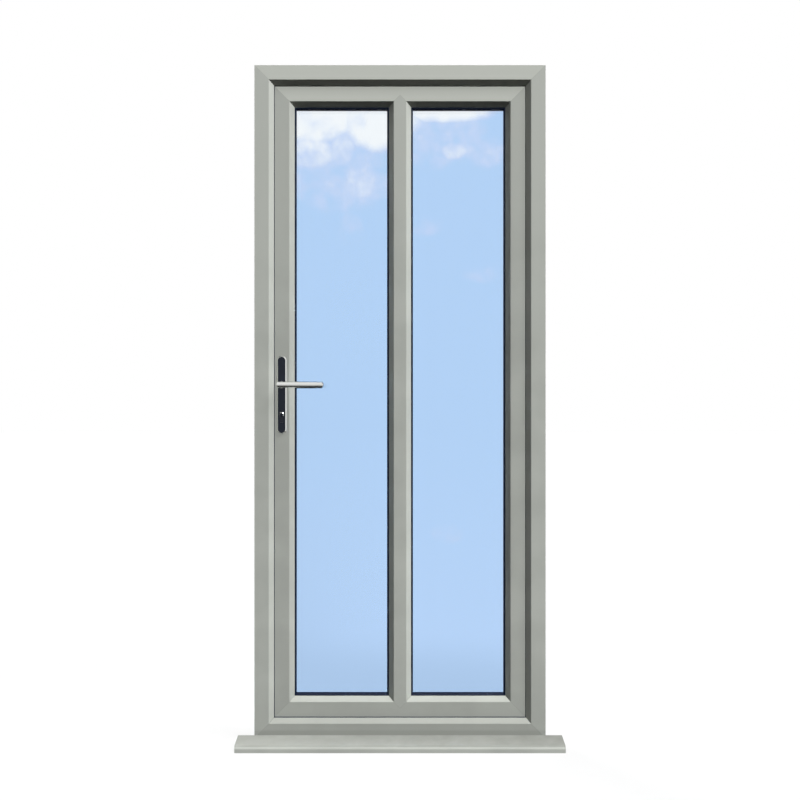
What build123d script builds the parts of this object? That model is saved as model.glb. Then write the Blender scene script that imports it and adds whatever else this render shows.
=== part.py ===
from build123d import *
import os
from typing import NamedTuple

# A glazed uPVC door in its frame, on a cill. The leaf opens inwards on three flag hinges.
# Millimetres. X runs to the right as seen from outside, Y runs from the exterior to the interior, and
# Z runs up. The origin is under the middle of the cill, in the plane of the frame's exterior face.

# Frame, outside sizes and section
frame_width = 900.0
frame_height = 2080.0
frame_depth = 70.0
frame_body = 36.0
frame_face = 44.5
frame_bevel = 14.5
frame_bevel_depth = 12.5
frame_lip = 2.0

# Gaps between the closed leaf and the frame
edge_gap = 12.0
front_gap = 5.0
back_gap = 5.0
sash_overlap = 8.0

# Sash section
sash_face = 58.0
sash_depth = 70.0
sash_bevel = 15.0
sash_bevel_depth = 15.0
sash_lip = 2.0
glazing_rebate = 20.0
mullion_face = 39.0

# Rounded edges and grooves of the profiles
bevel_radius = 3.0
lip_radius = 0.8
inner_edge_radius = 2.5
hardware_groove_width = 16.0
hardware_groove_depth = 2.5
clip_groove_width = 6.0
clip_groove_depth = 4.0
clip_groove_margin = 12.0
seal_groove_width = 3.0
seal_groove_depth = 2.0

# Sealed units, gaskets and beads
pane_thickness = 4.0
pane_cavity = 20.0
pane_edge_gap = 5.0
spacer_height = 9.0
outer_gasket_thickness = 3.5
inner_gasket_thickness = 3.0
outer_gasket_show = 6.0
inner_gasket_show = 3.0
outer_gasket_cover = 10.0
inner_gasket_cover = 8.0
bead_nose = 3.0
bead_flat = 7.0
bead_foot_width = 4.0
bead_foot_depth = 3.0
seal_clearance = 0.3
seal_show = 1.5
seal_width = 8.0
seal_taper = 1.0

# Cill
cill_width = 1000.0
cill_depth = 150.0
cill_nose = 21.0
cill_ridge = 30.0
cill_seat = 20.0
cill_back = 2.5
cill_back_height = 35.0
cill_nose_radius = 12.0
cill_ridge_radius = 2.0
cill_drip_width = 5.0
cill_drip_depth = 4.0
cill_drip_margin = 8.0
end_cap = 2.0

# Fixing holes in the jambs and drain slots in the bottom rail
fixing_radius = 4.0
fixing_depth = 26.0
fixing_corner = 150.0
fixing_middle = 600.0
drain_length = 30.0
drain_width = 5.0
drain_depth = 30.0
drain_spacing = 300.0
drain_count = 3

# Lever handle set
handle_height = 1092.0
backset = 35.0
key_drop = 92.0
backplate_width = 30.0
backplate_height = 242.0
backplate_thickness = 10.0
backplate_chamfer = 3.2
backplate_below = 152.0
lever_radius = 9.5
lever_reach = 54.5
outside_lever_length = 132.6
inside_lever_length = 118.0
tip_length = 19.6
neck_radius = 8.0
collar_radius = 9.1
groove_radius = 7.6
tip_radius = 9.1
tip_bevel = 3.5
neck_length = 3.6
collar_length = 3.2
groove_length = 1.6
lever_clearance = 0.3
lever_floor = 1.0
spindle_size = 8.0
spindle_hole_radius = 10.0
key_radius = 8.5
key_tail_width = 10.0
key_height = 33.0
key_proud = 1.5
keyway_width = 2.0
keyway_height = 9.0
keyway_depth = 2.0

# Lock edge
faceplate_margin = 190.0
faceplate_corner = 3.0
latch_rise = 48.0
latch_length = 30.0
latch_width = 12.0
latch_bevel = 9.0
hook_margin = 200.0
hook_length = 46.0
hook_width = 8.0
bolt_depth = 18.0
bolt_clearance = 0.5
keep_thickness = 3.5
keep_clearance = 1.5
keep_border = 40.0
keep_pocket = 14.0

# Flag hinges
hinge_corner = 240.0
hinge_edge = 13.0
hinge_out = 16.0
barrel_radius = 10.0
pin_radius = 4.0
pin_proud = 3.0
pin_clearance = 0.05
knuckle_gap = 0.5
sash_knuckle = 40.0
jamb_knuckle = 28.0
jamb_flag_width = 19.0
jamb_flag_thickness = 4.0
jamb_flag_web = 10.0
jamb_flag_corner = 4.0
sash_flag_width = 46.0
sash_flag_thickness = 4.5
sash_flag_start = 4.0
sash_flag_arm = 12.0
sash_flag_corner = 6.0

# Depths of the faces, from the frame's exterior face
upstand_back = frame_bevel_depth + frame_lip
sash_front = upstand_back + front_gap
sash_back = sash_front + sash_depth
leg_front = frame_depth + back_gap
rebate_front = sash_front + sash_bevel_depth + sash_lip
glass_front = rebate_front + outer_gasket_thickness
cavity_front = glass_front + pane_thickness
cavity_back = cavity_front + pane_cavity
glass_back = cavity_back + pane_thickness
bead_front = glass_back + inner_gasket_thickness
groove_middle = (sash_front + leg_front) / 2 - seal_groove_width
bead_foot_middle = (bead_front + sash_back) / 2

# Distances inwards from the frame's outside edge
frame_sight = frame_face + frame_bevel
leg_edge = frame_body - sash_overlap
sash_edge = frame_body + edge_gap
sash_bevel_edge = sash_edge + sash_face
sash_sight = sash_bevel_edge + sash_bevel
rebate_floor = sash_sight - glazing_rebate
frame_seal_middle = frame_sight - seal_width / 2
sash_seal_middle = leg_edge + sash_overlap / 2

# Half widths of the mullion
mullion_sight = mullion_face / 2 + sash_bevel
mullion_floor = mullion_sight - glazing_rebate

# Positions in the row frame
frame_bottom = cill_seat
frame_top = frame_bottom + frame_height
frame_side = frame_width / 2
cill_front = frame_depth + cill_back - cill_depth
spindle_x = sash_edge + backset - frame_side
spindle_z = frame_bottom + handle_height
latch_z = spindle_z + latch_rise
hook_z = (
    frame_bottom + faceplate_margin + hook_margin,
    frame_top - faceplate_margin - hook_margin,
)
hinge_z = {
    "lower": frame_bottom + hinge_corner,
    "middle": frame_bottom + frame_height / 2,
    "upper": frame_top - hinge_corner,
}
faceplate_length = frame_height - 2 * faceplate_margin
hinge_x = frame_side - hinge_edge
hinge_edge_to_leg = leg_edge - hinge_edge
hinge_y = frame_depth + hinge_out


class Ring(NamedTuple):
    """A rectangle in the door's plane that a set of four mitred bars follows."""

    left: float
    right: float
    bottom: float
    top: float


frame_ring = Ring(-frame_side, frame_side, frame_bottom, frame_top)
pane_rings = {
    "left": Ring(
        rebate_floor - frame_side, -mullion_floor, frame_bottom + rebate_floor, frame_top - rebate_floor
    ),
    "right": Ring(
        mullion_floor, frame_side - rebate_floor, frame_bottom + rebate_floor, frame_top - rebate_floor
    ),
}
inward = {
    "left": Vector(1, 0, 0),
    "right": Vector(-1, 0, 0),
    "bottom": Vector(0, 0, 1),
    "top": Vector(0, 0, -1),
}


def side_half_length(ring, side):
    """Half the length of one side of a ring."""
    if side in ("left", "right"):
        return (ring.top - ring.bottom) / 2
    return (ring.right - ring.left) / 2


def side_plane(ring, side):
    """The plane across the middle of a side: x runs inwards from the ring and y runs to the interior."""
    middle = Vector((ring.left + ring.right) / 2, 0, (ring.bottom + ring.top) / 2)
    across = (ring.right - ring.left if side in ("left", "right") else ring.top - ring.bottom) / 2
    normal = inward[side].cross(Vector(0, 1, 0))
    return Plane(origin=middle - inward[side] * across, x_dir=inward[side], z_dir=normal)


def mitre_planes(ring, side):
    """The two planes that cut a bar at 45 degrees at its corners."""
    section = side_plane(ring, side)
    for end in (-1, 1):
        corner = section.origin + section.z_dir * (end * side_half_length(ring, side))
        yield Plane(origin=corner, x_dir=(0, 1, 0), z_dir=section.z_dir * -end - inward[side])


def mitred_bar(ring, side, section):
    """One bar along a side of a ring, with its ends cut on the ring's diagonals."""
    with BuildPart() as bar:
        reach = side_half_length(ring, side) + bead_foot_depth
        extrude(section(side_plane(ring, side)), amount=reach, both=True)
        for plane in mitre_planes(ring, side):
            split(bisect_by=plane, keep=Keep.TOP)
    return bar.part


def frame_section(plane):
    """The frame's section: an upstand with a bevel outside, and a body with a rebate behind it."""
    with BuildSketch(plane) as section:
        with BuildLine():
            Polyline(
                (0, 0),
                (frame_face, 0),
                (frame_sight, frame_bevel_depth),
                (frame_sight, upstand_back),
                (frame_body, upstand_back),
                (frame_body, frame_depth),
                (0, frame_depth),
                close=True,
            )
        make_face()
        fillet(section.vertices().sort_by_distance((frame_face, 0))[0], bevel_radius)
        fillet(section.vertices().sort_by_distance((frame_sight, frame_bevel_depth))[0], lip_radius)
        fillet(section.vertices().sort_by_distance((frame_body, frame_depth))[0], inner_edge_radius)
        with Locations((frame_body, groove_middle)):
            Rectangle(2 * hardware_groove_depth, hardware_groove_width, mode=Mode.SUBTRACT)
        with Locations((0, clip_groove_margin), (0, frame_depth - clip_groove_margin)):
            Rectangle(2 * clip_groove_depth, clip_groove_width, mode=Mode.SUBTRACT)
        with Locations((frame_seal_middle, upstand_back)):
            Rectangle(seal_groove_width, 2 * seal_groove_depth, mode=Mode.SUBTRACT)
    return section.sketch


def sash_section(plane):
    """The sash's section: an overlapping leg inside, a bevel outside, and a rebate for the glass."""
    with BuildSketch(plane) as section:
        with BuildLine():
            Polyline(
                (sash_edge, sash_front),
                (sash_bevel_edge, sash_front),
                (sash_sight, sash_front + sash_bevel_depth),
                (sash_sight, rebate_front),
                (rebate_floor, rebate_front),
                (rebate_floor, sash_back),
                (leg_edge, sash_back),
                (leg_edge, leg_front),
                (sash_edge, leg_front),
                close=True,
            )
        make_face()
        fillet(section.vertices().sort_by_distance((sash_bevel_edge, sash_front))[0], bevel_radius)
        fillet(
            section.vertices().sort_by_distance((sash_sight, sash_front + sash_bevel_depth))[0], lip_radius
        )
        fillet(section.vertices().sort_by_distance((leg_edge, sash_back))[0], inner_edge_radius)
        with Locations((sash_edge, groove_middle)):
            Rectangle(2 * hardware_groove_depth, hardware_groove_width, mode=Mode.SUBTRACT)
        with Locations((rebate_floor, bead_foot_middle)):
            Rectangle(2 * bead_foot_depth, bead_foot_width, mode=Mode.SUBTRACT)
        with Locations((sash_seal_middle, leg_front)):
            Rectangle(seal_groove_width, 2 * seal_groove_depth, mode=Mode.SUBTRACT)
    return section.sketch


def mullion_section(plane):
    """The mullion's section: a bevel and a glazing rebate on both sides. The plane's x runs across."""
    with BuildSketch(plane) as section:
        with BuildLine():
            Polyline(
                (0, sash_front),
                (mullion_face / 2, sash_front),
                (mullion_sight, sash_front + sash_bevel_depth),
                (mullion_sight, rebate_front),
                (mullion_floor, rebate_front),
                (mullion_floor, sash_back),
                (0, sash_back),
                close=True,
            )
        make_face()
        fillet(section.vertices().sort_by_distance((mullion_face / 2, sash_front))[0], bevel_radius)
        fillet(
            section.vertices().sort_by_distance((mullion_sight, sash_front + sash_bevel_depth))[0],
            lip_radius,
        )
        with Locations((mullion_floor, bead_foot_middle)):
            Rectangle(2 * bead_foot_depth, bead_foot_width, mode=Mode.SUBTRACT)
        mirror(about=Plane.YZ)
    return section.sketch


def frame_gasket_section(plane):
    """The black weather gasket behind the frame's upstand, just clear of the closed sash."""
    tip = sash_front - seal_clearance
    inner = frame_sight + seal_show
    outer = frame_sight - seal_width
    with BuildSketch(plane) as section:
        with BuildLine():
            Polyline(
                (outer, upstand_back),
                (frame_sight, upstand_back),
                (inner, (upstand_back + tip) / 2),
                (inner, tip),
                (frame_seal_middle, tip),
                close=True,
            )
        make_face()
        with Locations((frame_seal_middle, upstand_back)):
            Rectangle(seal_groove_width, 2 * seal_groove_depth)
    return section.sketch


def sash_gasket_section(plane):
    """The black gasket on the sash's leg, just clear of the frame's inside face."""
    tip = frame_depth + seal_clearance
    with BuildSketch(plane) as section:
        with BuildLine():
            Polyline(
                (leg_edge + seal_clearance, leg_front),
                (leg_edge + seal_taper, tip),
                (sash_seal_middle + seal_groove_width / 2, tip),
                (frame_body - seal_clearance, leg_front),
                close=True,
            )
        make_face()
        with Locations((sash_seal_middle, leg_front)):
            Rectangle(seal_groove_width, 2 * seal_groove_depth)
    return section.sketch


def outer_gasket_section(plane):
    """The outer glazing gasket, with a sloping lip that shows inside the bevel."""
    show = glazing_rebate + outer_gasket_show
    with BuildSketch(plane) as section:
        with BuildLine():
            Polyline(
                (glazing_rebate - outer_gasket_cover, rebate_front),
                (glazing_rebate, rebate_front),
                (glazing_rebate, rebate_front - sash_lip / 2),
                (glazing_rebate + outer_gasket_show / 2, rebate_front - sash_lip / 2),
                (show, glass_front),
                (glazing_rebate - outer_gasket_cover, glass_front),
                close=True,
            )
        make_face()
    return section.sketch


def inner_gasket_section(plane):
    """The inner glazing gasket, between the bead and the glass."""
    show = glazing_rebate + inner_gasket_show
    with BuildSketch(plane) as section:
        with BuildLine():
            Polyline(
                (glazing_rebate - inner_gasket_cover, glass_back),
                (show, glass_back),
                (glazing_rebate, bead_front),
                (glazing_rebate - inner_gasket_cover, bead_front),
                close=True,
            )
        make_face()
    return section.sketch


def bead_section(plane):
    """The glazing bead: a bevelled bar with a foot that clips into the rebate."""
    with BuildSketch(plane) as section:
        with BuildLine():
            Polyline(
                (0, bead_front),
                (glazing_rebate, bead_front),
                (glazing_rebate, bead_front + bead_nose),
                (bead_flat, sash_back),
                (0, sash_back),
                close=True,
            )
        make_face()
        fillet(section.vertices().sort_by_distance((bead_flat, sash_back))[0], bevel_radius)
        with Locations((0, bead_foot_middle)):
            Rectangle(2 * bead_foot_depth, bead_foot_width)
    return section.sketch


def spacer_section(plane):
    """The bar that holds the two panes of a sealed unit apart."""
    with BuildSketch(plane) as section:
        with Locations((pane_edge_gap + spacer_height / 2, (cavity_front + cavity_back) / 2)):
            Rectangle(spacer_height, pane_cavity)
    return section.sketch


def mullion_outline(plane):
    """The mullion's shape in the door's plane, with a point at each end where it is welded in."""
    low = frame_bottom + sash_sight
    high = frame_top - sash_sight
    with BuildSketch(plane) as outline:
        with BuildLine():
            Polyline(
                (0, low - mullion_sight),
                (mullion_sight, low),
                (mullion_sight, high),
                (0, high + mullion_sight),
                (-mullion_sight, high),
                (-mullion_sight, low),
                close=True,
            )
        make_face()
    return outline.sketch


def cill_section(plane):
    """The cill's section: a sloping top with a rounded nose, a ridge, a seat and a low back."""
    with BuildSketch(plane) as section:
        with BuildLine():
            Polyline(
                (cill_front, 0),
                (cill_front, cill_nose),
                (0, cill_ridge),
                (0, cill_seat),
                (frame_depth, cill_seat),
                (frame_depth, cill_back_height),
                (frame_depth + cill_back, cill_back_height),
                (frame_depth + cill_back, 0),
                close=True,
            )
        make_face()
        fillet(section.vertices().sort_by_distance((cill_front, cill_nose))[0], cill_nose_radius)
        fillet(section.vertices().sort_by_distance((0, cill_ridge))[0], cill_ridge_radius)
        with Locations((cill_front + cill_drip_margin + cill_drip_width / 2, 0)):
            Rectangle(cill_drip_width, 2 * cill_drip_depth, mode=Mode.SUBTRACT)
    return section.sketch


def clipped_plate(width, height, corner):
    """The outline of a flat plate whose four corners are clipped at 45 degrees."""
    with BuildSketch() as outline:
        Rectangle(width, height)
        chamfer(outline.vertices(), corner)
    return outline.sketch


def key_outline(plane, clearance=0.0):
    """The key cylinder's outline, a round top with a straight tail. The plane's origin is the spindle."""
    with BuildSketch(plane) as outline:
        with Locations((0, -key_drop)):
            Circle(key_radius + clearance)
            Rectangle(
                key_tail_width + 2 * clearance,
                key_height - key_radius + clearance,
                align=(Align.CENTER, Align.MAX),
            )
    return outline.sketch


def latch_outline(plane, clearance=0.0):
    """The latch's outline on the lock edge, on a plane whose y is the height."""
    with BuildSketch(plane) as outline:
        with Locations((0, latch_z)):
            Rectangle(latch_width + 2 * clearance, latch_length + 2 * clearance)
    return outline.sketch


def hook_outlines(plane, clearance=0.0):
    """The two hooks' outlines, near the ends of the faceplate, on a plane whose y is the height."""
    with BuildSketch(plane) as outlines:
        with Locations(*[(0, height) for height in hook_z]):
            Rectangle(hook_width + 2 * clearance, hook_length + 2 * clearance)
    return outlines.sketch


def fixing_holes(hand):
    """The four fixing screws' holes through a jamb: -1 for the lock jamb, 1 for the hinge jamb."""
    middle = (hand * frame_side, fixing_depth, frame_bottom + frame_height / 2)
    corner = frame_height / 2 - fixing_corner
    with BuildPart() as holes:
        with BuildSketch(Plane(origin=middle, x_dir=(0, 1, 0), z_dir=(1, 0, 0))):
            with Locations((0, -corner), (0, -fixing_middle / 2), (0, fixing_middle / 2), (0, corner)):
                Circle(fixing_radius)
        extrude(amount=-hand * frame_body)
    return holes.part


def pane(ring, front):
    """One sheet of glass in a pane's opening, with its exterior face at the given depth."""
    middle = ((ring.left + ring.right) / 2, front, (ring.bottom + ring.top) / 2)
    with BuildPart() as sheet:
        with BuildSketch(Plane(origin=middle, x_dir=(1, 0, 0), z_dir=(0, 1, 0))):
            Rectangle(ring.right - ring.left - 2 * pane_edge_gap, ring.top - ring.bottom - 2 * pane_edge_gap)
        extrude(amount=pane_thickness)
    return sheet.part


def backplate(face):
    """A long backplate with round ends and a bevelled rim, pierced for the lever and the key cylinder."""
    with BuildPart() as plate:
        with BuildSketch(face):
            with Locations((0, backplate_height / 2 - backplate_below)):
                SlotOverall(backplate_height, backplate_width, rotation=90)
        extrude(amount=backplate_thickness)
        rim = plate.faces().sort_by(Axis(face.origin, face.z_dir))[-1]
        chamfer(rim.edges(), backplate_chamfer)
        with BuildSketch(face):
            Circle(lever_radius + lever_clearance)
        extrude(amount=backplate_thickness, mode=Mode.SUBTRACT)
        extrude(key_outline(face, lever_clearance), amount=backplate_thickness, mode=Mode.SUBTRACT)
    return plate.part


def lever(face, outward, length):
    """A round bar lever: a neck out of the backplate, mitred to a shaft with a collar and a bevelled tip."""
    profile = Plane(origin=face.origin, x_dir=(1, 0, 0), z_dir=Vector(1, 0, 0).cross(outward))
    corner = profile.from_local_coords((0, lever_reach))
    mitre = Plane(origin=corner, x_dir=profile.z_dir, z_dir=outward + Vector(1, 0, 0))
    shaft_end = length - tip_length
    collar = shaft_end + neck_length
    groove = collar + collar_length
    bulb = groove + groove_length
    with BuildPart() as shaft:
        with BuildSketch(profile) as section:
            with BuildLine():
                Polyline(
                    (-lever_radius, lever_reach),
                    (-lever_radius, lever_reach + lever_radius),
                    (shaft_end, lever_reach + lever_radius),
                    (shaft_end, lever_reach + neck_radius),
                    (collar, lever_reach + neck_radius),
                    (collar, lever_reach + collar_radius),
                    (groove, lever_reach + collar_radius),
                    (groove, lever_reach + groove_radius),
                    (bulb, lever_reach + groove_radius),
                    (bulb, lever_reach + tip_radius),
                    (length, lever_reach + tip_radius),
                    (length, lever_reach),
                    close=True,
                )
            make_face()
            chamfer(section.vertices().sort_by_distance((length, lever_reach + tip_radius))[0], tip_bevel)
        revolve(axis=Axis(corner, (1, 0, 0)))
        split(bisect_by=mitre, keep=Keep.TOP)
    with BuildPart() as grip:
        with BuildSketch(Plane(origin=face.origin + outward * lever_floor, z_dir=outward)):
            Circle(lever_radius)
        extrude(amount=lever_reach + lever_radius - lever_floor)
        split(bisect_by=mitre, keep=Keep.BOTTOM)
        add(shaft.part)
    return grip.part


def sash_flag(middle):
    """The leaf's half of a flag hinge: a plate on the sash, an arm over its edge, and one knuckle."""
    height = sash_knuckle + 2 * (jamb_knuckle + knuckle_gap)
    inner = sash_flag_start + hinge_edge_to_leg
    with BuildPart() as flag:
        with BuildSketch(Plane(origin=(hinge_x, sash_back, middle), x_dir=(-1, 0, 0), z_dir=(0, 1, 0))):
            with Locations((inner + sash_flag_width / 2, 0)):
                add(clipped_plate(sash_flag_width, height, sash_flag_corner))
            Rectangle(inner + sash_flag_arm, sash_knuckle, align=(Align.MIN, Align.CENTER))
        extrude(amount=sash_flag_thickness)
        with BuildSketch(Plane(origin=(hinge_x, hinge_y, middle))):
            Circle(barrel_radius)
        extrude(amount=sash_knuckle / 2, both=True)
        with BuildSketch(Plane(origin=(hinge_x, hinge_y, middle))):
            Circle(pin_radius + pin_clearance)
        extrude(amount=sash_knuckle / 2, both=True, mode=Mode.SUBTRACT)
    return flag.part


def jamb_flag(middle):
    """The frame's half of a flag hinge: a plate on the jamb, and a knuckle on a web at each end."""
    inner = sash_knuckle / 2 + knuckle_gap
    height = 2 * (inner + jamb_knuckle)
    with BuildPart() as flag:
        with BuildSketch(Plane(origin=(hinge_x, frame_depth, middle), x_dir=(-1, 0, 0), z_dir=(0, 1, 0))):
            add(clipped_plate(jamb_flag_width, height, jamb_flag_corner))
        extrude(amount=jamb_flag_thickness)
        for low in (middle - inner - jamb_knuckle, middle + inner):
            with BuildSketch(Plane(origin=(hinge_x, hinge_y, low))):
                Circle(barrel_radius)
                Rectangle(jamb_flag_web, hinge_y - frame_depth, align=(Align.CENTER, Align.MAX))
            extrude(amount=jamb_knuckle)
            with BuildSketch(Plane(origin=(hinge_x, hinge_y, low))):
                Circle(pin_radius)
            extrude(amount=jamb_knuckle, mode=Mode.SUBTRACT)
    return flag.part


def hinge_pin(middle):
    """A straight hinge pin, proud of the upper knuckle so that it can be driven out."""
    reach = sash_knuckle / 2 + knuckle_gap + jamb_knuckle
    with BuildPart() as pin:
        with BuildSketch(Plane(origin=(hinge_x, hinge_y, middle - reach))):
            Circle(pin_radius)
        extrude(amount=2 * reach + pin_proud)
    return pin.part


# Planes that the openings, the lock and the handle set are drawn on
row_plane = Plane(origin=(0, 0, 0), x_dir=(1, 0, 0), z_dir=(0, -1, 0))
outside_face = Plane(origin=(spindle_x, sash_front, spindle_z), x_dir=(1, 0, 0), z_dir=(0, -1, 0))
inside_face = Plane(origin=(spindle_x, sash_back, spindle_z), x_dir=(-1, 0, 0), z_dir=(0, 1, 0))
lock_edge = Plane(origin=(sash_edge - frame_side, groove_middle, 0), x_dir=(0, -1, 0), z_dir=(-1, 0, 0))
keep_face = Plane(
    origin=(frame_body - hardware_groove_depth - frame_side, groove_middle, 0),
    x_dir=(0, 1, 0),
    z_dir=(1, 0, 0),
)

os.makedirs("parts", exist_ok=True)

# Outer frame: four mitred bars
with BuildPart() as frame_head:
    add(mitred_bar(frame_ring, "top", frame_section))
frame_head.part.label = "frame_head"
export_step(frame_head.part, "parts/frame_head.step")

with BuildPart() as frame_bottom_rail:
    add(mitred_bar(frame_ring, "bottom", frame_section))
    with BuildSketch(Plane.XY.offset(frame_bottom)):
        with Locations((0, drain_depth)):
            with GridLocations(drain_spacing, 0, drain_count, 1):
                SlotOverall(drain_length, drain_width)
    extrude(amount=frame_body, mode=Mode.SUBTRACT)
frame_bottom_rail.part.label = "frame_bottom_rail"
export_step(frame_bottom_rail.part, "parts/frame_bottom_rail.step")

with BuildPart() as frame_lock_jamb:
    add(mitred_bar(frame_ring, "left", frame_section))
    add(fixing_holes(-1), mode=Mode.SUBTRACT)
    extrude(latch_outline(keep_face, keep_clearance), amount=-keep_pocket, mode=Mode.SUBTRACT)
    extrude(hook_outlines(keep_face, keep_clearance), amount=-keep_pocket, mode=Mode.SUBTRACT)
frame_lock_jamb.part.label = "frame_lock_jamb"
export_step(frame_lock_jamb.part, "parts/frame_lock_jamb.step")

with BuildPart() as frame_hinge_jamb:
    add(mitred_bar(frame_ring, "right", frame_section))
    add(fixing_holes(1), mode=Mode.SUBTRACT)
frame_hinge_jamb.part.label = "frame_hinge_jamb"
export_step(frame_hinge_jamb.part, "parts/frame_hinge_jamb.step")

with BuildPart() as frame_gasket:
    for side in inward:
        add(mitred_bar(frame_ring, side, frame_gasket_section))
frame_gasket.part.label = "frame_gasket"
export_step(frame_gasket.part, "parts/frame_gasket.step")

# Cill, with its horns cut back to the frame's exterior face
with BuildPart() as cill:
    extrude(cill_section(Plane.YZ), amount=cill_width / 2 - end_cap, both=True)
    with BuildSketch(Plane.XY):
        with Locations((-frame_side, 0)):
            Rectangle(cill_width, cill_depth, align=(Align.MAX, Align.MIN))
        with Locations((frame_side, 0)):
            Rectangle(cill_width, cill_depth, align=(Align.MIN, Align.MIN))
    extrude(amount=cill_depth, mode=Mode.SUBTRACT)
cill.part.label = "cill"
export_step(cill.part, "parts/cill.step")

with BuildPart() as cill_end_caps:
    extrude(cill_section(Plane.YZ.offset(cill_width / 2 - end_cap)), amount=end_cap)
    split(bisect_by=row_plane, keep=Keep.TOP)
    mirror(about=Plane.YZ)
cill_end_caps.part.label = "cill_end_caps"
export_step(cill_end_caps.part, "parts/cill_end_caps.step")

# Leaf: four mitred bars with the mullion welded into the head and the bottom rail
with BuildPart() as sash_head:
    add(mitred_bar(frame_ring, "top", sash_section))
    extrude(mullion_outline(row_plane), amount=-2 * sash_back, mode=Mode.SUBTRACT)
sash_head.part.label = "sash_head"
export_step(sash_head.part, "parts/sash_head.step")

with BuildPart() as sash_bottom_rail:
    add(mitred_bar(frame_ring, "bottom", sash_section))
    extrude(mullion_outline(row_plane), amount=-2 * sash_back, mode=Mode.SUBTRACT)
sash_bottom_rail.part.label = "sash_bottom_rail"
export_step(sash_bottom_rail.part, "parts/sash_bottom_rail.step")

with BuildPart() as sash_lock_stile:
    add(mitred_bar(frame_ring, "left", sash_section))
    with BuildSketch(inside_face):
        Circle(spindle_hole_radius)
    extrude(amount=-sash_depth, mode=Mode.SUBTRACT)
    extrude(key_outline(inside_face), amount=-sash_depth, mode=Mode.SUBTRACT)
    pocket = hardware_groove_depth + bolt_depth
    extrude(latch_outline(lock_edge, bolt_clearance), amount=-pocket, mode=Mode.SUBTRACT)
    extrude(hook_outlines(lock_edge, bolt_clearance), amount=-pocket, mode=Mode.SUBTRACT)
sash_lock_stile.part.label = "sash_lock_stile"
export_step(sash_lock_stile.part, "parts/sash_lock_stile.step")

with BuildPart() as sash_hinge_stile:
    add(mitred_bar(frame_ring, "right", sash_section))
sash_hinge_stile.part.label = "sash_hinge_stile"
export_step(sash_hinge_stile.part, "parts/sash_hinge_stile.step")

with BuildPart() as mullion:
    extrude(mullion_section(Plane.XY.offset(frame_bottom)), amount=frame_height)
    extrude(mullion_outline(row_plane), amount=-2 * sash_back, mode=Mode.INTERSECT)
mullion.part.label = "mullion"
export_step(mullion.part, "parts/mullion.step")

with BuildPart() as sash_gasket:
    for side in inward:
        add(mitred_bar(frame_ring, side, sash_gasket_section))
sash_gasket.part.label = "sash_gasket"
export_step(sash_gasket.part, "parts/sash_gasket.step")

# Two sealed units, each between an outer gasket and four clipped beads
for hand, ring in pane_rings.items():
    with BuildPart() as outer_pane:
        add(pane(ring, glass_front))
    outer_pane.part.label = f"{hand}_outer_pane"
    export_step(outer_pane.part, f"parts/{hand}_outer_pane.step")

    with BuildPart() as inner_pane:
        add(pane(ring, cavity_back))
    inner_pane.part.label = f"{hand}_inner_pane"
    export_step(inner_pane.part, f"parts/{hand}_inner_pane.step")

    with BuildPart() as spacer:
        for side in inward:
            add(mitred_bar(ring, side, spacer_section))
    spacer.part.label = f"{hand}_spacer"
    export_step(spacer.part, f"parts/{hand}_spacer.step")

    with BuildPart() as outer_gasket:
        for side in inward:
            add(mitred_bar(ring, side, outer_gasket_section))
    outer_gasket.part.label = f"{hand}_outer_gasket"
    export_step(outer_gasket.part, f"parts/{hand}_outer_gasket.step")

    with BuildPart() as inner_gasket:
        for side in inward:
            add(mitred_bar(ring, side, inner_gasket_section))
    inner_gasket.part.label = f"{hand}_inner_gasket"
    export_step(inner_gasket.part, f"parts/{hand}_inner_gasket.step")

    with BuildPart() as level_beads:
        add(mitred_bar(ring, "top", bead_section))
        add(mitred_bar(ring, "bottom", bead_section))
    level_beads.part.label = f"{hand}_level_beads"
    export_step(level_beads.part, f"parts/{hand}_level_beads.step")

    with BuildPart() as upright_beads:
        add(mitred_bar(ring, "left", bead_section))
        add(mitred_bar(ring, "right", bead_section))
    upright_beads.part.label = f"{hand}_upright_beads"
    export_step(upright_beads.part, f"parts/{hand}_upright_beads.step")

# Lock edge: the faceplate in the sash's groove, the bolts drawn back into it, and the keeps on the jamb
with BuildPart() as lock_faceplate:
    with BuildSketch(lock_edge):
        with Locations((0, frame_bottom + frame_height / 2)):
            add(clipped_plate(hardware_groove_width, faceplate_length, faceplate_corner))
    extrude(amount=-hardware_groove_depth)
    extrude(latch_outline(lock_edge, bolt_clearance), amount=-hardware_groove_depth, mode=Mode.SUBTRACT)
    extrude(hook_outlines(lock_edge, bolt_clearance), amount=-hardware_groove_depth, mode=Mode.SUBTRACT)
lock_faceplate.part.label = "lock_faceplate"
export_step(lock_faceplate.part, "parts/lock_faceplate.step")

with BuildPart() as latch:
    extrude(latch_outline(lock_edge), amount=-pocket)
    nose = latch.faces().sort_by(Axis.X)[0].edges().sort_by(Axis.Y)[-1]
    chamfer(nose, latch_bevel)
latch.part.label = "latch"
export_step(latch.part, "parts/latch.step")

with BuildPart() as hooks:
    extrude(hook_outlines(lock_edge), amount=-pocket)
hooks.part.label = "hooks"
export_step(hooks.part, "parts/hooks.step")

with BuildPart() as latch_keep:
    with BuildSketch(keep_face):
        with Locations((0, latch_z)):
            add(clipped_plate(hardware_groove_width, latch_length + 2 * keep_border, faceplate_corner))
    extrude(amount=keep_thickness)
    extrude(latch_outline(keep_face, keep_clearance), amount=keep_thickness, mode=Mode.SUBTRACT)
latch_keep.part.label = "latch_keep"
export_step(latch_keep.part, "parts/latch_keep.step")

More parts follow.
